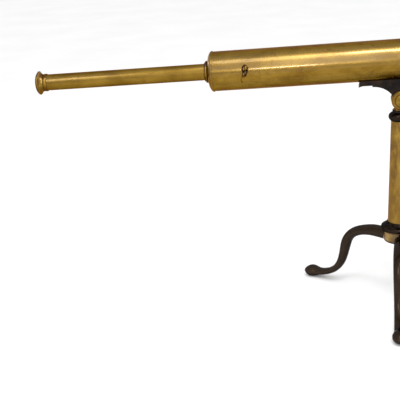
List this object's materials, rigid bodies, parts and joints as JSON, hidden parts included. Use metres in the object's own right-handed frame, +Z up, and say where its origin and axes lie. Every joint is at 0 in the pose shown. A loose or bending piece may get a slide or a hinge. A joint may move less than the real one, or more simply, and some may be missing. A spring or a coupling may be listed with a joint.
{
  "type": "table telescope",
  "caption": "Brass refracting telescope on a short pillar with three curved legs, tilting and turning, with rack focusing and a draw tube.",
  "frame": {"origin": "on the floor plane, on the pillar axis, at the middle of the three feet", "axes": "+Z up along the pillar; +X towards the objective, so the eyepiece points to -X; the focusing key is on the -Y side"},
  "size_m": [1.2555, 0.3733, 0.5325],
  "materials": {
    "barrel_brass": "aged lacquered brass, satin with long polish marks",
    "draw_brass": "aged drawn brass, satin",
    "fitting_brass": "turned brass with darker recesses",
    "joint_brass": "turned brass, golden",
    "column_brass": "aged brass with upright streaks",
    "hub_brass": "aged brass, tarnished at the edges",
    "blackened_brass": "blackened brass, matt",
    "leg_bronze": "dark brown-black patinated casting, semi-gloss",
    "black_lacquer": "black lacquer, semi-gloss",
    "steel": "plain steel",
    "dark_steel": "blued steel",
    "lining": "thin cloth lining",
    "glass": "clear polished glass"
  },
  "bodies": {
    "stand": {"leg_left": "leg_bronze", "leg_front": "leg_bronze", "leg_right": "leg_bronze", "leg_screws": "dark_steel", "hub_drum": "hub_brass", "hub_base_plate": "black_lacquer", "lower_ring": "black_lacquer", "column": "column_brass", "upper_ring": "black_lacquer", "head_bush": "joint_brass", "spindle_grub": "dark_steel", "tie_rod": "steel", "tie_washer": "dark_steel", "tie_nut": "dark_steel"},
    "head": {"joint_fork": "joint_brass", "pivot_disc_near": "joint_brass", "pivot_disc_far": "joint_brass", "pivot_bolt": "joint_brass", "pivot_nut": "joint_brass"},
    "telescope": {"saddle_bracket": "black_lacquer", "saddle_plate": "black_lacquer", "bracket_screws": "dark_steel", "saddle_screws": "dark_steel", "friction_washers": "fitting_brass", "barrel": "barrel_brass", "barrel_lugs": "fitting_brass", "rear_cap": "barrel_brass", "focus_guide": "fitting_brass", "pinion_box": "fitting_brass", "spindle_boss": "fitting_brass", "barrel_baffles": "blackened_brass", "objective_cell": "fitting_brass", "flint_lens": "glass", "crown_lens": "glass", "retaining_ring": "blackened_brass"},
    "focus_pinion": {"pinion": "steel", "focus_key": "fitting_brass"},
    "focusing_tube": {"focus_tube": "draw_brass", "focus_rack": "fitting_brass", "guide_collar": "fitting_brass", "collar_lining": "lining"},
    "draw": {"draw_tube": "draw_brass", "draw_guide_ring": "fitting_brass", "eyepiece_sleeve": "fitting_brass", "eyepiece_cup": "fitting_brass", "eyepiece_cell": "fitting_brass", "eye_lens": "glass", "field_lens": "glass", "field_stop": "blackened_brass", "erector_tube": "draw_brass", "erector_lenses": "glass", "erector_stop": "blackened_brass"},
    "shade": {"ray_shade": "barrel_brass"}
  },
  "joints": [
    {"name": "azimuth", "type": "hinge", "parent": "stand", "child": "head", "pos_m": [0, 0, 0.381], "axis": [0, 0, 1], "continuous": true},
    {"name": "altitude", "type": "hinge", "parent": "head", "child": "telescope", "pos_m": [0, 0, 0.4005], "axis": [0, -1, 0], "range_deg": [-40, 31]},
    {"name": "focus", "type": "slide", "parent": "telescope", "child": "focusing_tube", "axis": [-0.9997, 0, -0.0262], "range_m": [0, 0.05]},
    {"name": "focus_key_turn", "type": "hinge", "parent": "telescope", "child": "focus_pinion", "pos_m": [-0.28906, -0.03826, 0.47522], "axis": [0.0131, -0.866, -0.4998], "range_deg": [-573, 0]},
    {"name": "draw_slide", "type": "slide", "parent": "focusing_tube", "child": "draw", "axis": [0.9997, 0, 0.0262], "range_m": [-0.06, 0.3]},
    {"name": "shade_slide", "type": "slide", "parent": "telescope", "child": "shade", "axis": [0.9997, 0, 0.0262], "range_m": [0, 0.06]}
  ],
  "couplings": [
    {"joint": "focus_key_turn", "follows": "focus", "rad_per_m": -200}
  ]
}
